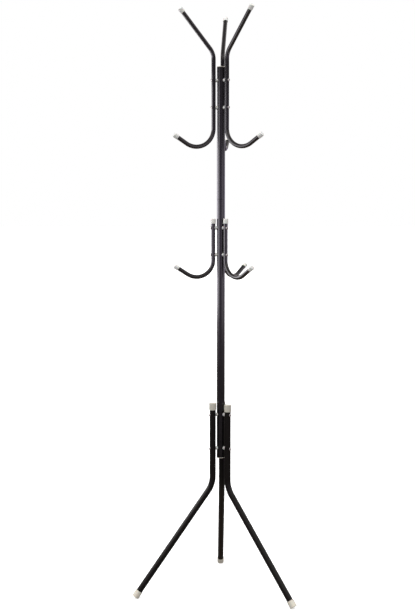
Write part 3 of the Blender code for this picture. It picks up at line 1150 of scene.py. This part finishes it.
@dataclass
class LegTier(Tier):
    """Splayed legs with a straight capped top, standing on the edges of their caps."""

    top: Triple = (0.5930, 0.5955, 0.5980)
    tilt: Triple = (37.25, 36.75, 36.35)
    corner_z: Triple = (0.3315, 0.3374, 0.3423)
    toe: Triple = (0.6, 8.5, -6.1)
    bend_r: float = 0.078
    foot_press: float = 0.0016

    def corners(self, side: Side) -> list[tuple[float, float, float, float]]:
        """Top end, bend and foot end.

        Args:
            side: The tube's side.

        Returns:
            The corners.
        """
        index = list(Side).index(side)
        tilt, corner_z = math.radians(self.tilt[index]), self.corner_z[index]
        foot_z = self.cap.outer_r * math.sin(tilt) - self.foot_press
        leg = (corner_z - foot_z) / math.cos(tilt) - self.cap.floor
        foot = (leg * math.sin(tilt), corner_z - leg * math.cos(tilt))
        top_end = self.top[index] - self.cap.floor
        return [(0.0, top_end, 0.0, 0.0), (0.0, corner_z, 0.0, self.bend_r),
                (*foot, self.toe[index], 0.0)]

    def cap_names(self) -> tuple[str, str]:
        """Caps of the straight top and of the foot."""
        return "leg_top_cap", "foot_cap"

    def spacer_nodes(self) -> list[str]:
        """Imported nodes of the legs' own spacers."""
        return self.node_names("spacer")

    def bolt_nodes(self) -> list[str]:
        """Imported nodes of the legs' own bolts."""
        return self.node_names("bolt")


def hook_corners(radius: float, bottom: float, rise: float, tip: float) -> tuple[Point2, Point2]:
    """Corner and end of a hook that hangs from a vertical tube.

    Args:
        radius: Bend radius of the hook.
        bottom: Height of the tube's centre line at the hook's lowest point.
        rise: Slope of the hook's straight end.
        tip: Length of the straight end.

    Returns:
        The corner where the straight lines meet, and the tube's end, as (out, up).
    """
    reach = radius * math.tan((math.pi / 2 + rise) / 2)
    corner = (0.0, bottom + radius - reach)
    run = reach + tip
    return corner, (run * math.cos(rise), corner[1] + run * math.sin(rise))


# ---- studio ----
@dataclass(frozen=True)
class Panel:
    """An upright panel that faces the pole and shows only in reflections; azimuth in degrees."""

    name: str
    azimuth: float
    distance: float
    height: float
    width: float
    tall: float
    radiance: float
    colour: Triple


@dataclass
class Studio:
    """White floor and backdrop, soft lights and the camera.

    The room shows only in reflections. Its bands go from the floor up, and each has the sine of
    its elevation and its colour. A bright band is at eye level, and a broader one above it.
    """

    layout: Layout
    floor_size: float = 400.0
    floor_drop: float = 0.0002
    floor_colour: Colour = (0.85, 0.85, 0.85, 1.0)
    floor_roughness: float = 0.9
    floor_glow: float = 0.5
    fill: float = 0.45
    sun_from: Triple = (-0.2, -0.25, 1.0)
    sun_angle: float = math.radians(70)
    sun_strength: float = 3.3
    panels: tuple[Panel, ...] = (
        Panel("left_panel", 205.0, 1.3, 1.25, 0.9, 1.0, 3.2, (0.98, 0.95, 1.0)),
        Panel("back_left_panel", 160.0, 1.3, 1.25, 1.1, 1.0, 5.0, (0.98, 0.96, 1.0)),
        Panel("front_right_panel", 312.0, 1.2, 1.08, 0.9, 0.75, 1.0, (0.96, 0.90, 1.0)),
        Panel("back_right_panel", 15.0, 2.0, 1.20, 1.6, 1.1, 0.9, (0.98, 0.96, 1.0)))
    room_strength: float = 1.25
    room_bands: tuple[tuple[float, Triple], ...] = (
        (-1.000, (0.24, 0.17, 0.12)), (-0.740, (0.28, 0.24, 0.22)), (-0.680, (0.28, 0.25, 0.24)),
        (-0.360, (0.28, 0.25, 0.24)), (-0.260, (0.05, 0.05, 0.04)), (-0.190, (0.04, 0.04, 0.03)),
        (-0.136, (0.15, 0.11, 0.12)), (-0.108, (0.28, 0.22, 0.24)), (-0.063, (0.55, 0.46, 0.60)),
        (-0.017, (0.64, 0.50, 0.77)), (0.014, (0.71, 0.63, 0.90)), (0.033, (0.55, 0.49, 0.69)),
        (0.052, (0.36, 0.31, 0.47)), (0.075, (0.17, 0.15, 0.18)), (0.118, (0.09, 0.07, 0.10)),
        (0.220, (0.24, 0.22, 0.22)), (0.380, (0.92, 0.85, 0.85)), (0.560, (0.92, 0.85, 0.85)),
        (0.780, (0.30, 0.29, 0.29)), (1.000, (0.26, 0.26, 0.26)))
    camera_distance: float = 3.3376
    camera_height: float = 1.1598
    camera_pitch: float = math.radians(4.470)
    camera_yaw: float = math.radians(0.7090)
    lens: float = 63.69
    sensor: float = 36.0

    def build(self) -> None:
        """Build the whole studio."""
        self.build_floor()
        self.build_world()
        self.build_camera()
        self.build_sun()
        for panel in self.panels:
            self.build_panel(panel)

    def build_floor(self) -> None:
        """Lay a pale floor under the stand, as bright as the white of the backdrop."""
        builder = bmesh.new()
        bmesh.ops.create_grid(builder, x_segments=1, y_segments=1, size=self.floor_size / 2)
        material = bpy.data.materials.new("pale_floor")
        material.use_nodes = True
        shader = material.node_tree.nodes["Principled BSDF"]
        for key, value in (("Base Color", self.floor_colour), ("Roughness", self.floor_roughness),
                           ("Emission Color", WHITE), ("Emission Strength", self.floor_glow)):
            shader.inputs[key].default_value = value
        floor = add_object("studio_floor", finished_mesh("studio_floor", builder), material)
        floor.location.z = -self.floor_drop
        floor.visible_glossy = False
        floor.visible_diffuse = False

    def build_world(self) -> None:
        """Surround the stand with white for the eye, an even fill and the room for reflections."""
        world = bpy.data.worlds.new("studio")
        bpy.context.scene.world = world
        world.use_nodes = True
        world.node_tree.nodes.clear()
        board = NodeBoard(world.node_tree)
        direction = board.add("ShaderNodeTexCoord").outputs["Generated"]
        rise = board.add("ShaderNodeSeparateXYZ", {0: direction}).outputs["Z"]
        bands = board.add("ShaderNodeValToRGB", {0: ramp(board, rise, (-1.0, 1.0), UNIT)})
        stops = bands.color_ramp.elements
        stops[0].color = (*self.room_bands[0][1], 1.0)
        stops[1].color = (*self.room_bands[-1][1], 1.0)
        for sine, colour in self.room_bands[1:-1]:
            stops.new((sine + 1.0) / 2.0).color = (*colour, 1.0)
        seen, fill, room = (
            board.add("ShaderNodeBackground", {"Color": colour, "Strength": strength}).outputs[0]
            for colour, strength in (
                (WHITE, 1.0), (WHITE, self.fill), (bands.outputs[0], self.room_strength)))
        ray = board.add("ShaderNodeLightPath").outputs
        lit = board.add("ShaderNodeMixShader", {0: ray["Is Glossy Ray"], 1: fill, 2: room})
        mixed = board.add(
            "ShaderNodeMixShader", {0: ray["Is Camera Ray"], 1: lit.outputs[0], 2: seen})
        board.add("ShaderNodeOutputWorld", {"Surface": mixed.outputs[0]})

    def add_light(self, name: str, kind: str) -> Item:
        """Add a light of one kind to the scene.

        Args:
            name: The light's name.
            kind: Blender's type of light.

        Returns:
            The light's object.
        """
        light = bpy.data.objects.new(name, bpy.data.lights.new(name, kind))
        bpy.context.scene.collection.objects.link(light)
        return light

    def build_sun(self) -> None:
        """Build a broad overhead light that leaves no highlights."""
        light = self.add_light("overhead_light", "SUN")
        light.data.angle = self.sun_angle
        light.data.energy = self.sun_strength
        light.rotation_euler = Vector(self.sun_from).to_track_quat("Z", "Y").to_euler()
        light.visible_glossy = False

    def build_panel(self, panel: Panel) -> None:
        """Build one panel.

        Args:
            panel: The panel's sizes.
        """
        light = self.add_light(panel.name, "AREA")
        light.data.shape = "RECTANGLE"
        light.data.size = panel.width
        light.data.size_y = panel.tall
        light.data.energy = panel.radiance * math.pi * panel.width * panel.tall
        light.data.color = panel.colour
        azimuth = math.radians(panel.azimuth)
        light.location = self.layout.polar(panel.distance, azimuth, panel.height)
        light.rotation_euler = (math.pi / 2, 0.0, azimuth + math.pi / 2)
        light.visible_camera = False
        light.visible_diffuse = False

    def build_camera(self) -> None:
        """Place the camera in front of the pole, a little above its middle."""
        data = bpy.data.cameras.new("camera")
        data.lens = self.lens
        data.sensor_width = self.sensor
        camera = bpy.data.objects.new("camera", data)
        bpy.context.scene.collection.objects.link(camera)
        stand_off = Vector((0.0, -self.camera_distance, self.camera_height))
        camera.location = self.layout.axis + stand_off
        camera.rotation_euler = (math.pi / 2 - self.camera_pitch, 0.0, self.camera_yaw)
        bpy.context.scene.camera = camera
        bpy.context.scene.view_settings.view_transform = "Standard"


def main() -> None:
    """Build the stand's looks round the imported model."""
    logging.basicConfig(level=logging.INFO, format="%(name)s: %(message)s")
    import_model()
    low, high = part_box("lower_pole")
    axis = Vector(((low[0] + high[0]) / 2, (low[1] + high[1]) / 2, 0.0))
    layout = Layout(axis)
    shop = Workshop(layout, Finishes(), tube_tree(), repeat_tree())
    Studio(layout).build()
    Pole(shop).build()
    hook_sizes = {"tube_r": 0.0065, "cap": HOOK_CAP, "bolt_spacing": 0.082}
    UpperTier(shop, "upper", "upper_hook", Body.TOP, azimuth=math.radians(-41.5), bolt_z=1.5046,
              seed=11, **hook_sizes).build()
    LowerTier(shop, "lower", "lower_hook", Body.MIDDLE, azimuth=math.radians(-52.7), bolt_z=1.0575,
              seed=23, **hook_sizes).build()
    LegTier(shop, "leg", "leg", Body.BASE, azimuth=math.radians(-37.6), bolt_z=0.4556, seed=37,
            tube_r=0.0095, cap=LEG_CAP, bolt_spacing=0.1057).build()


if __name__ == "__main__":
    main()
